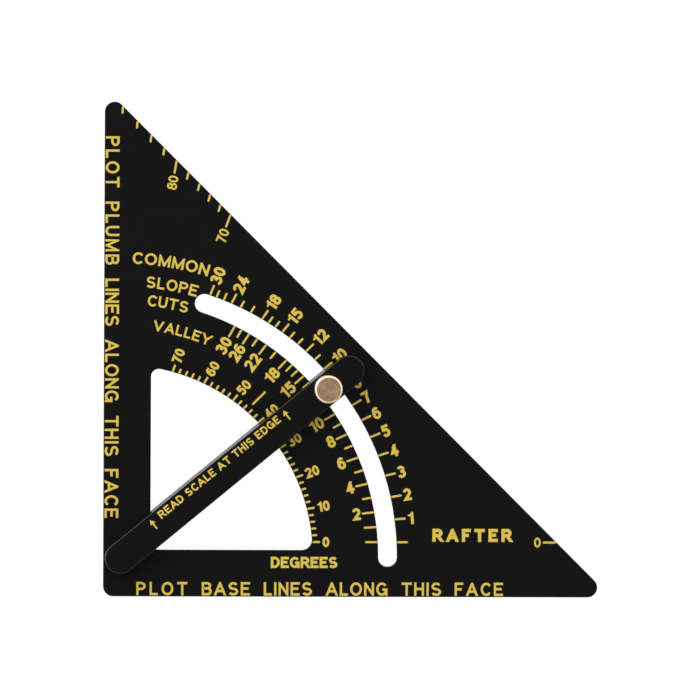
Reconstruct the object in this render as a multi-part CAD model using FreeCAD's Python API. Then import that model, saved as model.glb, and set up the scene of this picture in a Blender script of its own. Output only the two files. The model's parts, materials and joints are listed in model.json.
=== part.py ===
"""Adjustable rafter square: a right-angled plate with a clamping arm.

The plate is a 45 degree triangle with a quarter-round window and an arc slot.
Two bars, one on each face, share a pivot near the heel and a clamp stud that
runs in the slot. The front bar's upper edge reads the scales, and the rear bar
is the fence that hooks on the edge of the rafter. A knurled thumb nut pinches
the plate between the bars.

Everything is modelled with the heel at (0, 0), the plumb edge along +Y, the
seat edge along +X and the printed front face towards +Z, and is moved at the
end so that the origin is at the bottom centre of the whole tool.
"""

import FreeCAD, Part
import math
import os

# Driving dimensions, in millimetres and degrees.
LEG = 176.3              # sharp corner to sharp corner, along either leg
CORNER_R = 3.45          # rounding of the plate's three corners
PLATE_T = 3.2
EDGE_BREAK = 0.25        # chamfer on every edge of the plate's two faces

ZERO_LINE = 19.05        # zero reading line above the seat edge

ARM_W = 10.7
ARM_INSET = 0.45         # near end of the arm inside the plumb edge, at the zero reading
ARM_TAIL = 0.3           # pivot back to the centre of the near rounded end
ARM_PAST_CLAMP = 9.5     # clamp axis to the centre of the far rounded end
FRONT_ARM_T = 4.8
REAR_ARM_T = 6.4
ARM_ROUND = 0.4          # rounding of each bar's outer edges
REST_ANGLE = 39.5        # reading of the arm as stored

WINDOW_LEFT = 16.35      # window's straight sides, from the plumb and seat edges
WINDOW_BOTTOM = 16.15
WINDOW_CORNER_R = 2.7
WINDOW_TOE_R = 3.6       # corner between the window's bottom and its arc

SLOT_W = 6.5
SLOT_TO_LONG_EDGE = 14.9 # least wall between the slot and the long edge
SLOT_TO_WINDOW = 22.7    # wall between the slot and the window's arc
SLOT_LOW = 0.0           # angles of the slot's two end centres
SLOT_HIGH = 72.0

PIVOT_BUSH_D = 5.0
PIVOT_WASHER_INSET = 0.35
PIVOT_WASHER_T = 0.3     # also the gap that keeps each bar off the plate
PIVOT_SCREW_D = 3.0
PIVOT_HEAD_D = 6.0
FRONT_SKIN = 0.8         # metal left over the front bar's blind hole
CROSS_W = 0.7            # cross recess in the pivot screw's head
CROSS_SPAN = 3.2
CROSS_DEPTH = 1.1

STUD_LEDGE = 0.9         # head wider than the shoulder, all round
STUD_HEAD_T = 1.6
STUD_THREAD_D = 5.0
STUD_TIP_BREAK = 0.5
SHOULDER_SHORT = 0.4     # shoulder stops this far below the plate's front face

KNOB_WASHER_D = 9.0
KNOB_WASHER_T = 0.8
KNOB_D = 9.8
KNOB_HEAD_H = 6.0
KNOB_COLLAR_D = 8.2
KNOB_COLLAR_H = 1.2
KNOB_SKIN = 1.6          # metal left over the thumb nut's blind hole
KNOB_CHAMFER = 0.75      # bright ring round the thumb nut's face
KNOB_FOOT_BREAK = 0.4
KNOB_RIDGES = 48
KNURL_DEPTH = 0.28

RECESS = 0.2             # both heads sit this far inside the rear bar's face
RUNNING = 0.05           # radial clearance of the bush in the plate
SLIDING = 0.15           # clearance of the stud's shoulder from each side of the slot
SNUG = 0.02              # radial clearance of threads and pressed pieces
LOOSE = 0.15             # radial clearance of holes that only let a shank pass
HOLE_END_GAP = 0.4       # blind holes are this much deeper than what they hold

# Heights of the stack, from the surface that the tool lies on.
PLATE_BACK_Z = REAR_ARM_T + PIVOT_WASHER_T
PLATE_FRONT_Z = PLATE_BACK_Z + PLATE_T
FRONT_ARM_Z = PLATE_FRONT_Z + PIVOT_WASHER_T
FRONT_ARM_TOP_Z = FRONT_ARM_Z + FRONT_ARM_T
KNOB_Z = FRONT_ARM_TOP_Z + KNOB_WASHER_T

# Places and radii that follow from the driving dimensions. The radii are about the pivot.
PIVOT = FreeCAD.Vector(ARM_W / 2 + ARM_TAIL + ARM_INSET, ZERO_LINE - ARM_W / 2, 0)
PIVOT_TO_LONG_EDGE = (LEG - PIVOT.x - PIVOT.y) / math.sqrt(2)
SLOT_R = PIVOT_TO_LONG_EDGE - SLOT_TO_LONG_EDGE - SLOT_W / 2
WINDOW_R = SLOT_R - SLOT_W / 2 - SLOT_TO_WINDOW
ARM_REACH = SLOT_R + ARM_PAST_CLAMP

# Sizes that follow from what they fit.
PIVOT_WASHER_D = ARM_W - 2 * PIVOT_WASHER_INSET
PIVOT_SCREW_BITE = FRONT_ARM_T - FRONT_SKIN - HOLE_END_GAP
STUD_SHOULDER_D = SLOT_W - 2 * SLIDING
STUD_HEAD_D = STUD_SHOULDER_D + 2 * STUD_LEDGE
STUD_IN_KNOB = KNOB_COLLAR_H + KNOB_HEAD_H - KNOB_SKIN - HOLE_END_GAP

OVERALL = LEG - CORNER_R * math.sqrt(2)
TO_ORIGIN = FreeCAD.Vector(-OVERALL / 2, -OVERALL / 2, 0)
UP = FreeCAD.Vector(0, 0, 1)


def point(x, y, z=0.0):
    return FreeCAD.Vector(x, y, z)


def polar(radius, degrees):
    """A point in the XY plane about the origin."""
    angle = math.radians(degrees)
    return point(radius * math.cos(angle), radius * math.sin(angle))


def cylinder(diameter, bottom, top):
    """A cylinder on the Z axis between two heights."""
    return Part.makeCylinder(diameter / 2, top - bottom, point(0, 0, bottom))


def prism(edges, bottom, top):
    """The closed outline of edges, drawn at z = 0, as a solid between two heights."""
    face = Part.Face(Part.Wire(Part.__sortEdges__(edges)))
    face.translate(point(0, 0, bottom))
    return face.extrude(point(0, 0, top - bottom))


def arc(radius, low, high):
    """An arc about the origin from one angle, through the middle, to another."""
    middle = (low + high) / 2
    return Part.Arc(polar(radius, low), polar(radius, middle), polar(radius, high)).toShape()


def edges_at(solid, *heights):
    """The edges that lie wholly at one of these heights."""
    return [edge for edge in solid.Edges
            if any(abs(edge.BoundBox.ZMin - z) < 1e-6 and abs(edge.BoundBox.ZMax - z) < 1e-6
                   for z in heights)]


def upright_edges_near(solid, place):
    """The vertical edges that pass within a micrometre of a point of the XY plane."""
    return [edge for edge in solid.Edges
            if edge.BoundBox.XLength + edge.BoundBox.YLength < 1e-6
            and math.hypot(edge.BoundBox.XMin - place.x, edge.BoundBox.YMin - place.y) < 1e-3]


def triangle_blank():
    """The plate's outline with its three corners rounded."""
    corners = [point(0, 0), point(LEG, 0), point(0, LEG)]
    blank = prism(Part.makePolygon(corners + corners[:1]).Edges, PLATE_BACK_Z, PLATE_FRONT_Z)
    upright = [edge for place in corners for edge in upright_edges_near(blank, place)]
    return blank.makeFillet(CORNER_R, upright)


def window_cutter():
    """The quarter-round window, closed by an arc about the pivot."""
    left = WINDOW_LEFT - PIVOT.x
    bottom = WINDOW_BOTTOM - PIVOT.y
    heel = point(left, bottom)
    toe = point(math.sqrt(WINDOW_R ** 2 - bottom ** 2), bottom)
    top = point(left, math.sqrt(WINDOW_R ** 2 - left ** 2))
    middle = polar(WINDOW_R, 45)
    outline = [Part.makeLine(heel, toe),
               Part.Arc(toe, middle, top).toShape(),
               Part.makeLine(top, heel)]
    cutter = prism(outline, PLATE_BACK_Z, PLATE_FRONT_Z)
    square_corners = upright_edges_near(cutter, heel) + upright_edges_near(cutter, top)
    cutter = cutter.makeFillet(WINDOW_CORNER_R, square_corners)
    cutter = cutter.makeFillet(WINDOW_TOE_R, upright_edges_near(cutter, toe))
    return cutter.translated(PIVOT)


def slot_cutter():
    """The arc slot with round ends, about the pivot."""
    inner = SLOT_R - SLOT_W / 2
    outer = SLOT_R + SLOT_W / 2
    over_half = math.degrees(SLOT_W / 2 / SLOT_R)
    low_end = Part.Arc(polar(inner, SLOT_LOW),
                       polar(SLOT_R, SLOT_LOW - over_half),
                       polar(outer, SLOT_LOW)).toShape()
    high_end = Part.Arc(polar(inner, SLOT_HIGH),
                        polar(SLOT_R, SLOT_HIGH + over_half),
                        polar(outer, SLOT_HIGH)).toShape()
    outline = [arc(inner, SLOT_LOW, SLOT_HIGH), arc(outer, SLOT_LOW, SLOT_HIGH), low_end, high_end]
    return prism(outline, PLATE_BACK_Z, PLATE_FRONT_Z).translated(PIVOT)


def square_plate():
    bore = cylinder(PIVOT_BUSH_D + 2 * RUNNING, PLATE_BACK_Z, PLATE_FRONT_Z).translated(PIVOT)
    plate = triangle_blank().cut([window_cutter(), slot_cutter(), bore])
    return plate.makeChamfer(EDGE_BREAK, edges_at(plate, PLATE_BACK_Z, PLATE_FRONT_Z))


def on_arm(solid):
    """From the arm's own frame, pivot at the origin and the bar along +X, to its stored place."""
    solid.rotate(point(0, 0), UP, REST_ANGLE)
    return solid.translated(PIVOT)


def at_clamp(solid):
    """From the clamp's own axis to its stored place on the arm."""
    return on_arm(solid.translated(point(SLOT_R, 0)))


def bar(bottom, top, outer_face):
    """A round-ended bar in the arm's frame, rounded along the edges of its outer face."""
    half = ARM_W / 2
    near = -ARM_TAIL
    far = ARM_REACH
    outline = [Part.makeLine(point(near, half), point(far, half)),
               Part.makeLine(point(near, -half), point(far, -half)),
               Part.Arc(point(near, half), point(near - half, 0), point(near, -half)).toShape(),
               Part.Arc(point(far, half), point(far + half, 0), point(far, -half)).toShape()]
    solid = prism(outline, bottom, top)
    return solid.makeFillet(ARM_ROUND, edges_at(solid, outer_face))


def front_arm():
    hole_depth = PIVOT_SCREW_BITE + HOLE_END_GAP
    screw_hole = cylinder(PIVOT_SCREW_D + 2 * SNUG, FRONT_ARM_Z, FRONT_ARM_Z + hole_depth)
    stud_hole = cylinder(STUD_THREAD_D + 2 * LOOSE, FRONT_ARM_Z, FRONT_ARM_TOP_Z)
    solid = bar(FRONT_ARM_Z, FRONT_ARM_TOP_Z, FRONT_ARM_TOP_Z)
    return on_arm(solid.cut([screw_hole, stud_hole.translated(point(SLOT_R, 0))]))


def countersink(diameter, extra):
    """A 90 degree cone whose wide end is at the height RECESS, and its straight mouth below."""
    radius = diameter / 2 + extra
    cone = Part.makeCone(radius, 0, radius, point(0, 0, RECESS))
    return cone.fuse(cylinder(2 * radius, 0, RECESS))


def rear_arm():
    shank_hole = cylinder(PIVOT_SCREW_D + 2 * LOOSE, 0, REAR_ARM_T)
    head_seat = countersink(PIVOT_HEAD_D, SNUG)
    counterbore = cylinder(STUD_HEAD_D + 2 * SNUG, 0, RECESS + STUD_HEAD_T)
    shoulder_hole = cylinder(STUD_SHOULDER_D + 2 * SNUG, 0, REAR_ARM_T)
    stud_seat = counterbore.fuse(shoulder_hole).translated(point(SLOT_R, 0))
    return on_arm(bar(0, REAR_ARM_T, 0).cut([shank_hole, head_seat, stud_seat]))


def pivot_bush():
    """Sleeve between the two bars, a little longer than the plate is thick, so that they can turn."""
    sleeve = cylinder(PIVOT_BUSH_D, REAR_ARM_T, FRONT_ARM_Z)
    return on_arm(sleeve.cut(cylinder(PIVOT_SCREW_D + 2 * LOOSE, REAR_ARM_T, FRONT_ARM_Z)))


def pivot_washer(bottom):
    ring = cylinder(PIVOT_WASHER_D, bottom, bottom + PIVOT_WASHER_T)
    hole = cylinder(PIVOT_BUSH_D + 2 * LOOSE, bottom, bottom + PIVOT_WASHER_T)
    return on_arm(ring.cut(hole))


def pivot_screw():
    """Countersunk screw from the rear face into the front bar, through both bars and the bush."""
    radius = PIVOT_HEAD_D / 2
    head = Part.makeCone(radius, 0, radius, point(0, 0, RECESS))
    shank = cylinder(PIVOT_SCREW_D, RECESS, FRONT_ARM_Z + PIVOT_SCREW_BITE)
    recess = [Part.makeBox(span_x, span_y, CROSS_DEPTH, point(-span_x / 2, -span_y / 2, RECESS))
              for span_x, span_y in ((CROSS_SPAN, CROSS_W), (CROSS_W, CROSS_SPAN))]
    return on_arm(head.fuse(shank).cut(recess))


def clamp_stud():
    """Headed stud pressed into the rear bar; its shoulder runs in the slot and its thread in the nut."""
    shoulder_top = PLATE_FRONT_Z - SHOULDER_SHORT
    tip = KNOB_Z + STUD_IN_KNOB
    head = cylinder(STUD_HEAD_D, RECESS, RECESS + STUD_HEAD_T)
    shoulder = cylinder(STUD_SHOULDER_D, RECESS, shoulder_top)
    thread = cylinder(STUD_THREAD_D, RECESS, tip)
    thread = thread.makeChamfer(STUD_TIP_BREAK, edges_at(thread, tip))
    return at_clamp(head.fuse([shoulder, thread]).removeSplitter())


def knob_washer():
    ring = cylinder(KNOB_WASHER_D, FRONT_ARM_TOP_Z, KNOB_Z)
    return at_clamp(ring.cut(cylinder(STUD_THREAD_D + 2 * LOOSE, FRONT_ARM_TOP_Z, KNOB_Z)))


def knurled_prism(bottom, top):
    """A zigzag prism with one vertical ridge per step of the knurl."""
    crest = KNOB_D / 2
    points = []
    for step in range(2 * KNOB_RIDGES):
        radius = crest if step % 2 == 0 else crest - KNURL_DEPTH
        points.append(polar(radius, step * 180 / KNOB_RIDGES))
    return prism(Part.makePolygon(points + points[:1]).Edges, bottom, top)


def clamp_knob():
    """Closed thumb nut: a knurled head on a plain collar, tapped from below."""
    head_z = KNOB_Z + KNOB_COLLAR_H
    top = head_z + KNOB_HEAD_H
    turned = cylinder(KNOB_D, head_z, top)
    turned = turned.makeChamfer(KNOB_CHAMFER, edges_at(turned, top))
    turned = turned.makeChamfer(KNOB_FOOT_BREAK, edges_at(turned, head_z))
    head = turned.common(knurled_prism(head_z, top))
    collar = cylinder(KNOB_COLLAR_D, KNOB_Z, head_z)
    tapped = cylinder(STUD_THREAD_D + 2 * SNUG, KNOB_Z, KNOB_Z + STUD_IN_KNOB + HOLE_END_GAP)
    return at_clamp(head.fuse(collar).cut(tapped))


PARTS = {
    "square_plate": square_plate,
    "front_arm": front_arm,
    "rear_arm": rear_arm,
    "pivot_bush": pivot_bush,
    "front_pivot_washer": lambda: pivot_washer(PLATE_FRONT_Z),
    "rear_pivot_washer": lambda: pivot_washer(REAR_ARM_T),
    "pivot_screw": pivot_screw,
    "clamp_stud": clamp_stud,
    "knob_washer": knob_washer,
    "clamp_knob": clamp_knob,
}

os.makedirs("parts", exist_ok=True)
for name, build in PARTS.items():
    build().translated(TO_ORIGIN).exportStep(f"parts/{name}.step")
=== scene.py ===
import json
import math
import bmesh
import bpy
from mathutils import Matrix, Vector


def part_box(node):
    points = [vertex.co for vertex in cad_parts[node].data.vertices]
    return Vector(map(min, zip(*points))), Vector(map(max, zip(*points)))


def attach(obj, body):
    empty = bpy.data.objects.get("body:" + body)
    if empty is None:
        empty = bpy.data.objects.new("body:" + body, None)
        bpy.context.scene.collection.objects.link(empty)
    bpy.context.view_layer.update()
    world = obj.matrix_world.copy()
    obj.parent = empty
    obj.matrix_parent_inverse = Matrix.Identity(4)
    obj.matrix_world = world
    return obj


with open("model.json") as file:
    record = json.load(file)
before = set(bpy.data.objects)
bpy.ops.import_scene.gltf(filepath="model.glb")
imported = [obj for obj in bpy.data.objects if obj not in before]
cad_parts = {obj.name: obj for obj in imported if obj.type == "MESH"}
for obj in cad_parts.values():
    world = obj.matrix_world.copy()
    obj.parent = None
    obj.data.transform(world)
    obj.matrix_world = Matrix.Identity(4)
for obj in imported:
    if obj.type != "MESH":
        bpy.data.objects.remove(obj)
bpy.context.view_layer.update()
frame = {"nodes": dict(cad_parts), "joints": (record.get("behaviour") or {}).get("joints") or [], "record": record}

MM = 0.001

# ---------------------------------------------------------------- places taken from the frame
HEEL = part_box("square_plate")[0]
PLATE_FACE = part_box("square_plate")[1].z
BAR_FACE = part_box("front_arm")[1].z
NUT_LOW, NUT_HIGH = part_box("clamp_knob")
NUT_AXIS = ((NUT_LOW.x + NUT_HIGH.x) / 2, (NUT_LOW.y + NUT_HIGH.y) / 2, NUT_HIGH.z)
PIVOT = Vector(next(j["pos_m"] for j in frame["joints"] if j["name"] == "arm_pivot"))
LONG_EDGE = Vector(next(m["pos_m"] for m in frame["record"]["mounts"] if m["name"] == "long_edge"))

# ---------------------------------------------------------------- printing sizes, in millimetres
ARM_REST = 39.5                 # degrees the arm stands above the seat edge
EDGE_OFFSET = 5.35              # from the arm's centre line to the edge that reads the scales
STROKE = 0.72                   # width of a scale mark
INK_SINK = 0.02                 # how far the ink film starts inside the metal
INK_FILM = 0.04                 # how far it stands proud

READINGS = [max(i, 2 * i - 18) for i in range(25)]      # 0 to 18, then every second one to 30
RISE_RUN = 12.0                 # a common rafter's run, in inches for one foot
HIP_RUN = 16.97                 # a hip rafter's run over the same span
OUTER_LONG = [*range(11), 12, 15, 18, 24, 30]
OUTER_NUMBERS = OUTER_LONG[1:]
INNER_LONG = [0, 1, 2, 4, 6, 8, 10, 12, 15, 18, 22, 26, 30]
INNER_NUMBERS = INNER_LONG[2:]

# Marks, as radii about the pivot: the end at the slot or window, then a short and a long mark's
# other end. The marks inside the long edge have a distance from it, then their two lengths.
OUTER_MARK = (95.9, 98.6, 99.65)
INNER_MARK = (89.12, 85.95, 84.85)
DEGREE_MARK = (66.7, 68.5, 69.3)
HALF_RIGHT_MARK = (69.7, 76.2)  # the lone mark at 45 degrees, start and end
EDGE_MARK = (0.2, 2.6, 4.65)

# Numbers: where they start or end, and their height
OUTER_NUMBER = (100.2, 4.25)
INNER_NUMBER = (84.4, 4.25)
DEGREE_NUMBER = (70.1, 3.58)
EDGE_NUMBER = (EDGE_MARK[0] + EDGE_MARK[2] + 0.7, 3.5)
BOLD, LIGHT = 0.225, 0.18       # stroke width, as a share of the height


# ---------------------------------------------------------------- small helpers
def linear(colour):
    """A linear colour from an sRGB hex one."""
    parts = [int(colour[i:i + 2], 16) / 255 for i in (1, 3, 5)]
    return [p / 12.92 if p <= 0.04045 else ((p + 0.055) / 1.055) ** 2.4 for p in parts] + [1.0]


def add(tree, kind, inputs=(), **settings):
    """A node with its settings, and its sockets either linked or set."""
    node = tree.nodes.new(kind)
    for name, value in settings.items():
        setattr(node, name, value)
    for name, value in dict(inputs).items():
        if isinstance(value, bpy.types.NodeSocket):
            tree.links.new(value, node.inputs[name])
        else:
            node.inputs[name].default_value = value
    return node


def surface(name):
    """An empty material and its tree."""
    material = bpy.data.materials.new(name)
    material.use_nodes = True
    material.node_tree.nodes.clear()
    return material, material.node_tree


def own_place(tree, centre=(0, 0, 0), turn=0.0, scale=(1, 1, 1)):
    """The piece's own coordinates, counted from a centre and turned about Z."""
    coords = add(tree, "ShaderNodeTexCoord")
    moved = add(tree, "ShaderNodeMapping", {
        "Vector": coords.outputs["Object"], "Location": Vector(centre),
        "Rotation": (0, 0, turn), "Scale": scale}, vector_type="TEXTURE")
    return moved.outputs[0]


def shown(made):
    """Puts a new object in the scene."""
    bpy.context.scene.collection.objects.link(made)
    return made


def applied(source):
    """A plain mesh of an object with its modifiers worked out. The object is removed."""
    bpy.context.view_layer.update()
    graph = bpy.context.evaluated_depsgraph_get()
    mesh = bpy.data.meshes.new_from_object(source.evaluated_get(graph))
    points = source.data
    bpy.data.objects.remove(source)
    bpy.data.meshes.remove(points)
    return mesh


# ---------------------------------------------------------------- lettering drawn with strokes
# A letter is its width, as a share of its height, and its strokes in a unit box. A stroke is made
# of corners (x, y) and arcs (centre x, centre y, half width, half height, first and last angle).
LETTERS = {
    "A": (0.90, [[(0, 0), (0.5, 1), (1, 0)], [(0.17, 0.29), (0.83, 0.29)]]),
    "B": (0.78, [[(0.05, 0.53), (0.55, 0.53), (0.55, 0.765, 0.38, 0.235, -90, 90), (0, 1), (0, 0),
                  (0.6, 0)], [(0.6, 0.265, 0.4, 0.265, -90, 90)]]),
    "C": (0.80, [[(0.56, 0.5, 0.56, 0.5, 38, 322)]]),
    "D": (0.80, [[(0, 0), (0, 1), (0.42, 1), (0.42, 0.5, 0.58, 0.5, 90, -90), (0, 0)]]),
    "E": (0.72, [[(1, 1), (0, 1), (0, 0), (1, 0)], [(0.02, 0.52), (0.97, 0.52)]]),
    "F": (0.68, [[(1, 1), (0, 1), (0, 0)], [(0.02, 0.5), (0.95, 0.5)]]),
    "G": (0.88, [[(0.5, 0.5, 0.5, 0.5, 38, 338)], [(0.55, 0.46), (1, 0.46), (1, 0)]]),
    "H": (0.77, [[(0, 0), (0, 1)], [(1, 0), (1, 1)], [(0.02, 0.52), (0.98, 0.52)]]),
    "I": (0.10, [[(0.5, 0), (0.5, 1)]]),
    "L": (0.64, [[(0, 1), (0, 0), (1, 0)]]),
    "M": (0.92, [[(0, 0), (0, 1), (0.5, 0), (1, 1), (1, 0)]]),
    "N": (0.77, [[(0, 0), (0, 1), (1, 0), (1, 1)]]),
    "O": (0.92, [[(0.5, 0.5, 0.5, 0.5, 0, 360)]]),
    "P": (0.74, [[(0, 0), (0, 1), (0.5, 1)], [(0.5, 0.735, 0.5, 0.265, 90, -90), (0.02, 0.47)]]),
    "R": (0.80, [[(0, 0), (0, 1), (0.5, 1)], [(0.5, 0.735, 0.46, 0.265, 90, -90), (0.02, 0.47)],
                 [(0.55, 0.45), (1, 0)]]),
    "S": (0.78, [[(0.5, 0.75, 0.46, 0.25, 25, 250), (0.5, 0.25, 0.5, 0.25, 70, -155)]]),
    "T": (0.80, [[(0, 1), (1, 1)], [(0.5, 0.98), (0.5, 0)]]),
    "U": (0.77, [[(0, 1), (0.5, 0.32, 0.5, 0.32, 180, 360), (1, 1)]]),
    "V": (0.88, [[(0, 1), (0.5, 0), (1, 1)]]),
    "Y": (0.88, [[(0, 1), (0.5, 0.42), (0.5, 0)], [(1, 1), (0.5, 0.42)]]),
    "0": (0.66, [[(0.5, 0.5, 0.5, 0.5, 0, 360)]]),
    "2": (0.66, [[(0.5, 0.71, 0.5, 0.29, 170, -35), (0.1, 0), (1, 0)]]),
    "3": (0.66, [[(0.48, 0.77, 0.44, 0.23, 160, -90), (0.34, 0.54)],
                 [(0.48, 0.27, 0.52, 0.27, 90, -165)]]),
    "4": (0.68, [[(0.70, 1), (0.08, 0.28), (1, 0.28)], [(0.70, 0.97), (0.70, 0)]]),
    "5": (0.66, [[(0.92, 1), (0.2, 1), (0.1, 0.5)], [(0.49, 0.32, 0.51, 0.32, 140, -158)]]),
    "6": (0.66, [[(0.5, 0.31, 0.5, 0.31, 0, 360)], [(0.55, 0.5, 0.55, 0.5, 180, 45)]]),
    "7": (0.64, [[(0, 1), (0.95, 1), (0.6, 0.55), (0.38, 0)]]),
    "8": (0.66, [[(0.5, 0.76, 0.44, 0.24, 0, 360)], [(0.5, 0.27, 0.5, 0.27, 0, 360)]]),
    "9": (0.66, [[(0.5, 0.69, 0.5, 0.31, 0, 360)], [(0.45, 0.5, 0.55, 0.5, 0, -135)]]),
}
ONE_WIDTH, ONE_RIGHT = 0.52, 0.51           # the digit 1 and its stem's right side
LETTER_GAP = 0.12               # between letters, as a share of their height
NUMBER_GAP = 0.06               # and between digits
WORD_GAP = 0.28                 # and added between words
STACK = 0.05                    # how far a stroke stands over the one before, in film thicknesses
ARC_STEP = 15                   # degrees
FLUSH, OVERRUN = 0.5, 1.2       # how far a square or slanting stroke runs on at its end, in weights
SHARPEST = 0.12                 # keeps the mitre of a sharp corner short
TRIM = 0.003                    # a stroke that stands further out of the letter's box is cut off
SAME_PLACE = 1e-6


def stroke_points(stroke):
    """A stroke's points. Corners stay corners, and arcs become short steps."""
    points = []
    for part in stroke:
        if len(part) == 2:
            points.append(part)
            continue
        x, y, wide, high, first, last = part
        steps = max(2, round(abs(last - first) / ARC_STEP))
        for i in range(steps + 1):
            a = math.radians(first + (last - first) * i / steps)
            points.append((x + wide * math.cos(a), y + high * math.sin(a)))
    return points


def ribbon(made, points, half, level):
    """Adds a closed flat band about a line, with mitred corners."""
    points = [Vector(p) for p in points]
    closed = (points[0] - points[-1]).length < SAME_PLACE
    if closed:
        points.pop()
    count, rows = len(points), []
    for i, p in enumerate(points):
        before = (p - points[i - 1]).normalized() if closed or i else None
        after = (points[(i + 1) % count] - p).normalized() if closed or i < count - 1 else None
        before, after = before or after, after or before
        side = Vector((-before.y - after.y, before.x + after.x))
        side *= half / max(1 + before.dot(after), SHARPEST)
        rows.append([made.verts.new((*(p + side * s), z)) for s, z in
                     ((1, 0.5 + level), (-1, 0.5 + level), (-1, -0.5), (1, -0.5))])
    for i in range(count if closed else count - 1):
        one, two = rows[i], rows[(i + 1) % count]
        for k in range(4):
            made.faces.new((one[k], one[k - 1], two[k - 1], two[k]))
    if not closed:
        made.faces.new(rows[0])
        made.faces.new(rows[-1][::-1])


def joined(whole, part, place=Matrix.Identity(4)):
    """Adds one bmesh to another, moved to its place, and frees it."""
    mesh = bpy.data.meshes.new("part")
    part.transform(place)
    part.to_mesh(mesh)
    part.free()
    whole.from_mesh(mesh)
    bpy.data.meshes.remove(mesh)


def glyph(sign, weight):
    """A letter or digit one unit high, its strokes as thick as the weight, and its width."""
    if sign == "1":
        left = ONE_RIGHT - weight
        corners = [(left, 0), (ONE_RIGHT, 0), (ONE_RIGHT, 1), (left + 0.07, 1),
                   (left + 0.03, 0.9), (left - 0.06, 0.82), (left - 0.23, 0.79),
                   (left - 0.23, 0.66), (left, 0.66)]
        return prism(corners), ONE_WIDTH
    made = bmesh.new()
    width, strokes = LETTERS[sign]
    width = max(width, weight)
    for number, stroke in enumerate(strokes):
        unit = stroke_points(stroke)
        points = [Vector((weight / 2 + x * (width - weight), weight / 2 + y * (1 - weight)))
                  for x, y in unit]
        if (points[0] - points[-1]).length > SAME_PLACE:
            for end, inner in ((0, 1), (-1, -2)):
                if any(c in (0, 1) for c in unit[end]):
                    away = (points[end] - points[inner]).normalized()
                    straight = max(abs(away.x), abs(away.y)) > 0.999
                    points[end] = points[end] + away * weight * (FLUSH if straight else OVERRUN)
        band = bmesh.new()
        ribbon(band, points, weight / 2, number * STACK)
        for height, out in ((1.0, 1), (0.0, -1)):
            if any((v.co.y - height) * out > TRIM for v in band.verts):
                cut = bmesh.ops.bisect_plane(
                    band, geom=band.verts[:] + band.edges[:] + band.faces[:], dist=1e-5,
                    plane_co=(0, height, 0), plane_no=(0, out, 0), clear_outer=True)["geom_cut"]
                edges = [e for e in cut if isinstance(e, bmesh.types.BMEdge)]
                bmesh.ops.edgeloop_fill(band, edges=edges)
        joined(made, band)
    return made, width


def word(words, cap, weight, width=None, stretch=1.0, gap=LETTER_GAP):
    """A word from the origin, and its width. If a width is given, the letter gaps make it up."""
    signs = [glyph(sign, weight) if sign != " " else (None, WORD_GAP) for sign in str(words)]
    if width and len(signs) > 1:
        gap = (width / cap - sum(wide for made, wide in signs) * stretch) / (len(signs) - 1)
    whole, reach = bmesh.new(), 0.0
    for made, wide in signs:
        if made:
            joined(whole, made, Matrix.Diagonal((cap, cap, 1, 1))
                   @ Matrix.Translation((reach, 0, 0)) @ Matrix.Diagonal((stretch, 1, 1, 1)))
        reach += wide * stretch + gap
    return whole, (reach - gap) * cap


def prism(corners):
    """A closed shape one unit thick from its corners, given anticlockwise."""
    made = bmesh.new()
    top = [made.verts.new((x, y, 0.5)) for x, y in corners]
    low = [made.verts.new((x, y, -0.5)) for x, y in corners]
    made.faces.new(top)
    made.faces.new(low[::-1])
    for i in range(len(top)):
        j = (i + 1) % len(top)
        made.faces.new((low[i], low[j], top[j], top[i]))
    return made


class Print:
    """Everything printed on one face. Shapes come in millimetres and are laid in place."""

    def __init__(self, face):
        self.face, self.whole = face, bmesh.new()

    def take(self, made, at, turn=0.0, bend=None):
        """Lays a flat shape at a place, turned about it, or bent round it at a radius."""
        thick = (INK_SINK + INK_FILM) * MM
        if bend:
            for v in made.verts:
                angle = math.radians(turn) - v.co.x / bend
                reach = bend + v.co.y
                v.co.x, v.co.y = reach * math.cos(angle), reach * math.sin(angle)
            turned = Matrix.Identity(4)
        else:
            turned = Matrix.Rotation(math.radians(turn), 4, "Z")
        level = self.face + thick / 2 - INK_SINK * MM
        moved = Matrix.Translation((at[0], at[1], level))
        joined(self.whole, made, moved @ Matrix.Diagonal((MM, MM, thick, 1)) @ turned)

    def piece(self, name, body, ink):
        """Makes one piece of everything taken, and lets it ride on a body."""
        mesh = bpy.data.meshes.new(name)
        bmesh.ops.recalc_face_normals(self.whole, faces=self.whole.faces)
        self.whole.to_mesh(mesh)
        self.whole.free()
        mesh.materials.append(ink)
        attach(shown(bpy.data.objects.new(name, mesh)), body)


def heel(u, v):
    """A place on the plate, counted in millimetres from the corner of its two legs."""
    return HEEL.x + u * MM, HEEL.y + v * MM


def beside_arm(angle, along, across=0.0):
    """A place along the reading edge, with the arm at this angle."""
    a = math.radians(angle)
    s = EDGE_OFFSET + across
    return (PIVOT.x + (along * math.cos(a) - s * math.sin(a)) * MM,
            PIVOT.y + (along * math.sin(a) + s * math.cos(a)) * MM)


def along_edge(radius):
    """How far along the reading edge a circle about the pivot crosses it."""
    return math.sqrt(radius ** 2 - EDGE_OFFSET ** 2)


# ---------------------------------------------------------------- scale marks
def slope(rise, run):
    """A rafter's angle in degrees, from its rise over its run."""
    return math.degrees(math.atan(rise / run))


def long_edge_along(angle, inside):
    """How far along the reading edge the plate's long edge lies, less a distance inside it."""
    cos, sin = math.cos(math.radians(angle)), math.sin(math.radians(angle))
    edge = (LONG_EDGE.x + LONG_EDGE.y - PIVOT.x - PIVOT.y) / MM
    return (edge - EDGE_OFFSET * (cos - sin)) / (cos + sin) - inside


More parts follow.
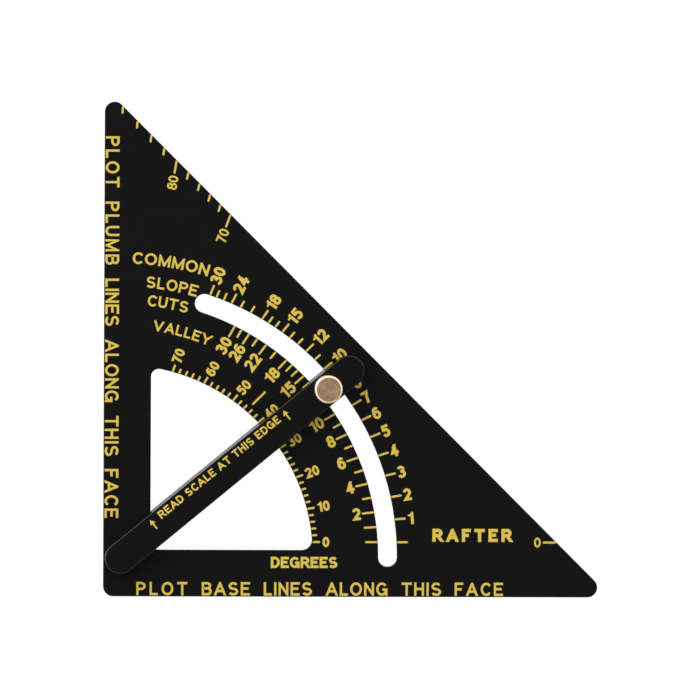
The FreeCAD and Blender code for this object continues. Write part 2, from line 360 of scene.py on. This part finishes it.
def scale_marks():
    """Every mark as its angle, start and end along the reading edge."""
    marks = []
    for k in READINGS:
        marks.append((slope(k, RISE_RUN), along_edge(OUTER_MARK[0]),
                      along_edge(OUTER_MARK[2 if k in OUTER_LONG else 1])))
        marks.append((slope(k, HIP_RUN), along_edge(INNER_MARK[2 if k in INNER_LONG else 1]),
                      along_edge(INNER_MARK[0])))
    for k in range(0, 71, 2):
        marks.append((k, along_edge(DEGREE_MARK[0]), along_edge(DEGREE_MARK[1 if k % 10 else 2])))
    marks.append((45, *map(along_edge, HALF_RIGHT_MARK)))
    for k in [0, *range(70, 89, 2)]:
        outer = long_edge_along(k, EDGE_MARK[0])
        marks.append((k, outer - EDGE_MARK[1 if k % 10 else 2], outer))
    return marks


def marks_tree(ink):
    """Geometry nodes: one round-ended mark for each point, by its angle, middle and length."""
    tree = bpy.data.node_groups.new("scale_marks", "GeometryNodeTree")
    face = tree.interface
    face.new_socket("Points", in_out="INPUT", socket_type="NodeSocketGeometry")
    for name, size in (("Mark width", 0.001), ("Film thickness", 0.0001), ("Edge offset", 0.005)):
        face.new_socket(name, in_out="INPUT", socket_type="NodeSocketFloat").default_value = size
    face.new_socket("Centre", in_out="INPUT", socket_type="NodeSocketVector")
    face.new_socket("Marks", in_out="OUTPUT", socket_type="NodeSocketGeometry")
    given = add(tree, "NodeGroupInput").outputs

    radius = add(tree, "ShaderNodeMath", {0: given["Mark width"], 1: 0.5}, operation="MULTIPLY")
    disc = add(tree, "GeometryNodeMeshCylinder", {
        "Vertices": 14, "Radius": radius.outputs[0], "Depth": given["Film thickness"]})
    kept = add(tree, "GeometryNodeStoreNamedAttribute", {
        "Geometry": disc.outputs["Mesh"], "Name": "disc_place",
        "Value": add(tree, "GeometryNodeInputPosition").outputs[0]}, data_type="FLOAT_VECTOR")
    laid = add(tree, "GeometryNodeInstanceOnPoints", {
        "Points": given["Points"], "Instance": kept.outputs[0]})
    real = add(tree, "GeometryNodeRealizeInstances", {"Geometry": laid.outputs[0]})
    disc_place, turn, middle, length = (
        add(tree, "GeometryNodeInputNamedAttribute", {"Name": name}, data_type=kind).outputs[0]
        for name, kind in (("disc_place", "FLOAT_VECTOR"), ("turn", "FLOAT"),
                           ("middle", "FLOAT"), ("length", "FLOAT")))
    own = add(tree, "ShaderNodeSeparateXYZ", {0: disc_place}).outputs
    straight = add(tree, "ShaderNodeMath", {
        0: length, 1: given["Mark width"]}, operation="SUBTRACT")
    half = add(tree, "ShaderNodeMath", {0: straight.outputs[0], 1: 0.5}, operation="MULTIPLY")
    end = add(tree, "ShaderNodeMath", {0: own["X"]}, operation="SIGN")
    spread = add(tree, "ShaderNodeMath", {
        0: end.outputs[0], 1: half.outputs[0], 2: own["X"]}, operation="MULTIPLY_ADD")
    along = add(tree, "ShaderNodeMath", {0: spread.outputs[0], 1: middle}, operation="ADD")
    across = add(tree, "ShaderNodeMath", {0: given["Edge offset"], 1: own["Y"]}, operation="ADD")
    flat = add(tree, "ShaderNodeCombineXYZ", {
        "X": along.outputs[0], "Y": across.outputs[0], "Z": own["Z"]})
    turned = add(tree, "ShaderNodeVectorRotate", {
        "Vector": flat.outputs[0], "Angle": turn}, rotation_type="Z_AXIS")
    placed = add(tree, "ShaderNodeVectorMath", {
        0: turned.outputs[0], 1: given["Centre"]}, operation="ADD")
    moved = add(tree, "GeometryNodeSetPosition", {
        "Geometry": real.outputs[0], "Position": placed.outputs[0]})
    inked = add(tree, "GeometryNodeSetMaterial", {"Geometry": moved.outputs[0], "Material": ink})
    add(tree, "NodeGroupOutput", {"Marks": inked.outputs[0]})
    return tree


def printed_marks(ink):
    """The scale marks on the plate, worked out to a plain mesh."""
    marks = scale_marks()
    mesh = bpy.data.meshes.new("marks")
    mesh.from_pydata([(0, 0, 0)] * len(marks), [], [])
    columns = {"turn": [math.radians(angle) for angle, start, end in marks],
               "middle": [(start + end) / 2 * MM for angle, start, end in marks],
               "length": [(end - start) * MM for angle, start, end in marks]}
    for name, values in columns.items():
        mesh.attributes.new(name, "FLOAT", "POINT").data.foreach_set("value", values)
    made = shown(bpy.data.objects.new("marks", mesh))
    tree = marks_tree(ink)
    nodes = made.modifiers.new("marks", "NODES")
    nodes.node_group = tree
    level = PLATE_FACE + (INK_FILM - INK_SINK) / 2 * MM
    settings = {"Mark width": STROKE * MM, "Film thickness": (INK_FILM + INK_SINK) * MM,
                "Edge offset": EDGE_OFFSET * MM, "Centre": (PIVOT.x, PIVOT.y, level)}
    for socket in tree.interface.items_tree:
        if socket.in_out == "INPUT" and socket.name in settings:
            nodes[socket.identifier] = settings[socket.name]
    return applied(made)


# ---------------------------------------------------------------- materials
def black_plate():
    """Sheet aluminium, black anodised: an even, near-black satin with a faint rolled grain."""
    material, tree = surface("black_anodised_aluminium_sheet")
    grain = add(tree, "ShaderNodeTexNoise", {
        "Vector": own_place(tree, scale=(12 * MM, 0.6 * MM, 0.6 * MM)),
        "Scale": 1.0, "Detail": 3.0})
    cloud = add(tree, "ShaderNodeTexNoise", {
        "Vector": own_place(tree), "Scale": 1 / (55 * MM), "Detail": 2.0})
    tone = add(tree, "ShaderNodeMix", {
        0: cloud.outputs["Fac"], 6: linear("#0A090A"), 7: linear("#100E10")}, data_type="RGBA")
    rough = add(tree, "ShaderNodeMapRange", {
        "Value": grain.outputs["Fac"], "To Min": 0.34, "To Max": 0.46})
    bump = add(tree, "ShaderNodeBump", {
        "Height": grain.outputs["Fac"], "Strength": 0.15, "Distance": 0.02 * MM})
    shader = add(tree, "ShaderNodeBsdfPrincipled", {
        "Base Color": tone.outputs[2], "Roughness": rough.outputs[0], "IOR": 1.5,
        "Specular IOR Level": 0.2, "Normal": bump.outputs[0]})
    add(tree, "ShaderNodeOutputMaterial", {"Surface": shader.outputs[0]})
    return material


def black_bar():
    """Aluminium bar, ground and black anodised: glossier than the sheet, so its sides shine."""
    material, tree = surface("black_anodised_aluminium_bar")
    grain = add(tree, "ShaderNodeTexNoise", {
        "Vector": own_place(
            tree, turn=math.radians(ARM_REST), scale=(20 * MM, 0.5 * MM, 0.5 * MM)),
        "Scale": 1.0, "Detail": 3.0})
    tone = add(tree, "ShaderNodeMix", {
        0: grain.outputs["Fac"], 6: linear("#0A090A"), 7: linear("#100D0F")}, data_type="RGBA")
    rough = add(tree, "ShaderNodeMapRange", {
        "Value": grain.outputs["Fac"], "To Min": 0.2, "To Max": 0.3})
    bump = add(tree, "ShaderNodeBump", {
        "Height": grain.outputs["Fac"], "Strength": 0.1, "Distance": 0.02 * MM})
    shader = add(tree, "ShaderNodeBsdfPrincipled", {
        "Base Color": tone.outputs[2], "Roughness": rough.outputs[0], "IOR": 1.6,
        "Specular IOR Level": 0.25, "Normal": bump.outputs[0]})
    add(tree, "ShaderNodeOutputMaterial", {"Surface": shader.outputs[0]})
    return material


def yellow_ink():
    """Screen printed yellow ink: warm, slightly mottled, with a soft sheen."""
    material, tree = surface("yellow_screen_printed_ink")
    mottle = add(tree, "ShaderNodeTexNoise", {
        "Vector": own_place(tree), "Scale": 1 / (1.1 * MM), "Detail": 3.0})
    tone = add(tree, "ShaderNodeMix", {
        0: mottle.outputs["Fac"], 6: linear("#E6C546"), 7: linear("#F1D65C")}, data_type="RGBA")
    bump = add(tree, "ShaderNodeBump", {
        "Height": mottle.outputs["Fac"], "Strength": 0.2, "Distance": 0.02 * MM})
    shader = add(tree, "ShaderNodeBsdfPrincipled", {
        "Base Color": tone.outputs[2], "Roughness": 0.5, "IOR": 1.5, "Normal": bump.outputs[0]})
    add(tree, "ShaderNodeOutputMaterial", {"Surface": shader.outputs[0]})
    return material


RING_STEP = math.pi / 10        # how far apart a wave texture's rings are at a scale of one
RIM_BLEND = 0.05                # millimetres either side of the face's edge


def turned_metal(
        name, dull, light, painted_rim_highlight_tone, centre, face_radius, face_rough, rim_rough, pitch=0.2):
    """A metal turned about an upright axis: lathe rings on its face, and a smoother rim whose colour is painted
    lighter than the face as a highlight.

    The tool's pitch and the face's radius are in millimetres. The broad rings are four pitches
    wide, because single ones are too fine to show.
    """
    material, tree = surface(name)
    place = own_place(tree, centre)
    flat = add(tree, "ShaderNodeVectorMath", {0: place, 1: (1, 1, 0)}, operation="MULTIPLY")
    radius = add(tree, "ShaderNodeVectorMath", {0: flat.outputs[0]}, operation="LENGTH")
    rim = add(tree, "ShaderNodeMapRange", {
        "Value": radius.outputs["Value"], "From Min": (face_radius - RIM_BLEND) * MM,
        "From Max": (face_radius + RIM_BLEND) * MM})
    rings = add(tree, "ShaderNodeTexWave", {
        "Vector": place, "Scale": RING_STEP / (pitch * MM), "Distortion": 1.2, "Detail": 2.0,
        "Detail Scale": 1.0}, wave_type="RINGS", rings_direction="Z")
    bands = add(tree, "ShaderNodeTexWave", {
        "Vector": place, "Scale": RING_STEP / (4 * pitch * MM), "Distortion": 0.8, "Detail": 2.0,
        "Detail Scale": 1.5}, wave_type="RINGS", rings_direction="Z")
    patches = add(tree, "ShaderNodeTexNoise", {
        "Vector": place, "Scale": 1 / (2 * MM), "Detail": 3.0})
    spread = add(tree, "ShaderNodeMapRange", {
        "Value": patches.outputs["Fac"], "From Min": 0.3, "From Max": 0.7})
    worn = add(tree, "ShaderNodeMix", {
        0: 0.66, 2: bands.outputs["Fac"], 3: spread.outputs[0]}, data_type="FLOAT")
    face = add(tree, "ShaderNodeMix", {
        0: worn.outputs[0], 6: linear(dull), 7: linear(light)}, data_type="RGBA")
    # painted highlight: the rim takes a lighter colour than the face, standing in for the bright highlight on the
    # chamfer
    tone = add(tree, "ShaderNodeMix", {
        0: rim.outputs[0], 6: face.outputs[2], 7: linear(painted_rim_highlight_tone)}, data_type="RGBA")
    gloss = add(tree, "ShaderNodeMapRange", {
        "Value": rim.outputs[0], "To Min": face_rough, "To Max": rim_rough})
    bump = add(tree, "ShaderNodeBump", {
        "Height": rings.outputs["Fac"], "Strength": 0.8, "Distance": 0.015 * MM})
    shader = add(tree, "ShaderNodeBsdfPrincipled", {
        "Base Color": tone.outputs[2], "Metallic": 1.0, "Roughness": gloss.outputs[0],
        "Normal": bump.outputs[0]})
    add(tree, "ShaderNodeOutputMaterial", {"Surface": shader.outputs[0]})
    return material


def black_nylon():
    """Moulded black nylon: dull, with a faint pebbled skin."""
    material, tree = surface("moulded_black_nylon")
    pebble = add(tree, "ShaderNodeTexNoise", {
        "Vector": own_place(tree), "Scale": 1 / (0.4 * MM), "Detail": 2.0})
    bump = add(tree, "ShaderNodeBump", {
        "Height": pebble.outputs["Fac"], "Strength": 0.3, "Distance": 0.03 * MM})
    shader = add(tree, "ShaderNodeBsdfPrincipled", {
        "Base Color": linear("#1A1A1A"), "Roughness": 0.6, "IOR": 1.53, "Normal": bump.outputs[0]})
    add(tree, "ShaderNodeOutputMaterial", {"Surface": shader.outputs[0]})
    return material


def light_table():
    """White acrylic lit from below: an even white with no shadows."""
    material, tree = surface("white_acrylic_light_table")
    glow = add(tree, "ShaderNodeTexNoise", {"Vector": own_place(tree), "Scale": 1 / (330 * MM)})
    strength = add(tree, "ShaderNodeMapRange", {
        "Value": glow.outputs["Fac"], "To Min": 0.99, "To Max": 1.02})
    shader = add(tree, "ShaderNodeBsdfPrincipled", {
        "Base Color": linear("#606060"), "Roughness": 0.5, "IOR": 1.49,
        "Emission Color": linear("#FFFFFF"), "Emission Strength": strength.outputs[0]})
    add(tree, "ShaderNodeOutputMaterial", {"Surface": shader.outputs[0]})
    return material


def wear(node, material):
    """Gives a frame node its material."""
    slots = frame["nodes"][node].data.materials
    if not slots:
        slots.append(material)
    for i in range(len(slots)):
        slots[i] = material


# each metal's third colour is its rim's painted highlight colour
brass = turned_metal(
    "turned_brass", "#AC8068", "#E2C69C", "#F3E0C4", NUT_AXIS,
    face_radius=4.15, face_rough=0.55, rim_rough=0.27)
bright_steel = turned_metal(
    "turned_bright_steel", "#8A8A8C", "#BABABC", "#C8C8CA", NUT_AXIS,
    face_radius=2.5, face_rough=0.35, rim_rough=0.2)
bush_steel = turned_metal(
    "turned_bush_steel", "#8A8A8C", "#BABABC", "#C8C8CA", PIVOT,
    face_radius=2.5, face_rough=0.35, rim_rough=0.2)
screw_steel = turned_metal(
    "black_oxide_steel", "#232327", "#343438", "#3C3C40", PIVOT,
    face_radius=2.6, face_rough=0.42, rim_rough=0.34)
wear("square_plate", black_plate())
bar = black_bar()
wear("front_arm", bar)
wear("rear_arm", bar)
wear("pivot_bush", bush_steel)
wear("pivot_screw", screw_steel)
wear("clamp_stud", bright_steel)
wear("knob_washer", brass)
wear("clamp_knob", brass)
nylon = black_nylon()
wear("front_pivot_washer", nylon)
wear("rear_pivot_washer", nylon)
ink = yellow_ink()

# ---------------------------------------------------------------- printing on the plate
plate_print = Print(PLATE_FACE)
marks = printed_marks(ink)
plate_print.whole.from_mesh(marks)
bpy.data.meshes.remove(marks)


def number_beside(number, angle, along, cap, side, weight=BOLD):
    """A number that reads outwards. It starts at its place with side 0, and ends there with 1."""
    made, width = word(number, cap, weight, gap=NUMBER_GAP)
    plate_print.take(made, beside_arm(angle, along - side * width, -cap / 2), angle)


for k in OUTER_NUMBERS:
    number_beside(k, slope(k, RISE_RUN), along_edge(OUTER_NUMBER[0]), OUTER_NUMBER[1], 0)
for k in INNER_NUMBERS:
    number_beside(k, slope(k, HIP_RUN), along_edge(INNER_NUMBER[0]), INNER_NUMBER[1], 1)
for k in range(0, 71, 10):
    number_beside(k, k, along_edge(DEGREE_NUMBER[0]), DEGREE_NUMBER[1], 0)
for k in (0, 70, 80):
    number_beside(k, k, long_edge_along(k, EDGE_NUMBER[0]), EDGE_NUMBER[1], 1, LIGHT)

# words around the pivot: radius of the foot line, angles of first and last letter, height, stretch
for words, radius, first, last, cap, stretch in (
        ("COMMON", 101.7, 87.95, 73.1, 4.1, 1.09), ("SLOPE", 93.8, 84.9, 74.1, 4.0, 1.0),
        ("CUTS", 87.5, 84.2, 75.1, 3.9, 1.0), ("VALLEY", 79.2, 82.1, 67.6, 3.7, 1.0)):
    made = word(words, cap, LIGHT, math.radians(first - last) * radius, stretch)[0]
    plate_print.take(made, PIVOT, first, bend=radius)

# words along the two legs, close to the edge: where each starts and ends from the heel
for words, start, end in (("PLOT", 159.5, 141.8), ("PLUMB", 136.9, 115.0), ("LINES", 110.2, 93.8),
                          ("ALONG", 89.0, 67.4), ("THIS", 62.6, 48.7), ("FACE", 44.2, 27.2)):
    made = word(words, cap=4.8, weight=0.172, width=start - end, stretch=0.95)[0]
    plate_print.take(made, heel(0.35, start), -90)
for words, start, end in (("PLOT", 11.5, 29.2), ("BASE", 34.2, 50.9), ("LINES", 55.7, 72.4),
                          ("ALONG", 77.3, 98.6), ("THIS", 103.5, 117.2), ("FACE", 121.9, 138.7)):
    made = word(words, cap=4.65, weight=0.175, width=end - start, stretch=0.95)[0]
    plate_print.take(made, heel(start, 0.42))
plate_print.take(word("DEGREES", cap=3.9, weight=0.23, width=23.1)[0], heel(58.1, 10.0))
plate_print.take(word("RAFTER", cap=4.55, weight=0.25, width=27.6)[0], heel(114.1, 19.2))
plate_print.piece("plate_printing", "square", ink)

# ---------------------------------------------------------------- printing on the front bar
bar_print = Print(BAR_FACE)


def arrow(along, across):
    """An arrow that points at the reading edge, its tip here."""
    made = prism([(-0.27, -3.9), (0.27, -3.9), (0.27, -1.7), (1.05, -1.7), (0, 0),
                  (-1.05, -1.7), (-0.27, -1.7)])
    bar_print.take(made, beside_arm(ARM_REST, along, across), ARM_REST)


legend = word("READ SCALE AT THIS EDGE", cap=2.8, weight=0.2, width=53.4)[0]
bar_print.take(legend, beside_arm(ARM_REST, 19.4, -3.9), ARM_REST)
arrow(16.0, -1.55)
arrow(75.6, -1.4)
bar_print.piece("bar_printing", "arm", ink)

# ---------------------------------------------------------------- light table, light and camera
TABLE_HALF = 15.0               # metres, far enough to fill every view
TABLE_DROP = 0.05 * MM          # keeps it out of the rear bar's own plane

mesh = bpy.data.meshes.new("light_table")
corners = [(x * TABLE_HALF, y * TABLE_HALF, -TABLE_DROP)
           for x, y in ((-1, -1), (1, -1), (1, 1), (-1, 1))]
mesh.from_pydata(corners, [], [(0, 1, 2, 3)])
mesh.materials.append(light_table())
shown(bpy.data.objects.new("light_table", mesh))

# a white studio that is darker overhead, and brighter on the upper left
world = bpy.data.worlds.new("studio")
bpy.context.scene.world = world
world.use_nodes = True
tree = world.node_tree
tree.nodes.clear()
ray = add(tree, "ShaderNodeTexCoord").outputs["Generated"]
height = add(tree, "ShaderNodeSeparateXYZ", {0: ray}).outputs["Z"]
fall = add(tree, "ShaderNodeMapRange", {
    "Value": height, "From Min": 0.45, "From Max": 0.97, "To Min": 1.15, "To Max": 0.2})
bright_side = add(tree, "ShaderNodeVectorMath", {
    0: ray, 1: (-0.3, 0.3, 0)}, operation="DOT_PRODUCT")
both = add(tree, "ShaderNodeMath", {
    0: fall.outputs[0], 1: bright_side.outputs["Value"]}, operation="ADD")
around = add(tree, "ShaderNodeBackground", {
    "Color": linear("#FFFFFF"), "Strength": both.outputs[0]})
add(tree, "ShaderNodeOutputWorld", {"Surface": around.outputs[0]})

LAMP_PLACE = Vector((-0.9, 0.7, 0.6))
lamp = bpy.data.lights.new("upper_left_soft_light", "AREA")
lamp.shape, lamp.size, lamp.energy = "DISK", 1.0, 6     # metres and watts
lamp_object = shown(bpy.data.objects.new("upper_left_soft_light", lamp))
lamp_object.location = LAMP_PLACE
lamp_object.rotation_euler = (-LAMP_PLACE).to_track_quat("-Z", "Y").to_euler()

scene = bpy.context.scene
scene.view_settings.view_transform = "Standard"
CAMERA_AIM = Vector((-0.00048, -0.00002, PLATE_FACE))
CAMERA_REACH = 6.0              # metres
READING_SIDE = Vector((-0.636, 0.772, 0))   # of the arm, square to it
CAMERA_TILT = math.radians(3.3)             # away from upright, towards the reading side
CAMERA_ROLL = math.radians(0.26)
lens = bpy.data.cameras.new("camera")
lens.lens, lens.sensor_width = 890.7, 36.0
lens.clip_start, lens.clip_end = 0.1, 40.0
camera = shown(bpy.data.objects.new("camera", lens))
back = READING_SIDE.normalized() * math.sin(CAMERA_TILT)
back.z = math.cos(CAMERA_TILT)
up = Vector((-math.sin(CAMERA_ROLL), math.cos(CAMERA_ROLL), 0))
right = up.cross(back).normalized()
turned = Matrix((right, back.cross(right), back)).transposed().to_4x4()
camera.matrix_world = Matrix.Translation(CAMERA_AIM + back * CAMERA_REACH) @ turned
scene.camera = camera
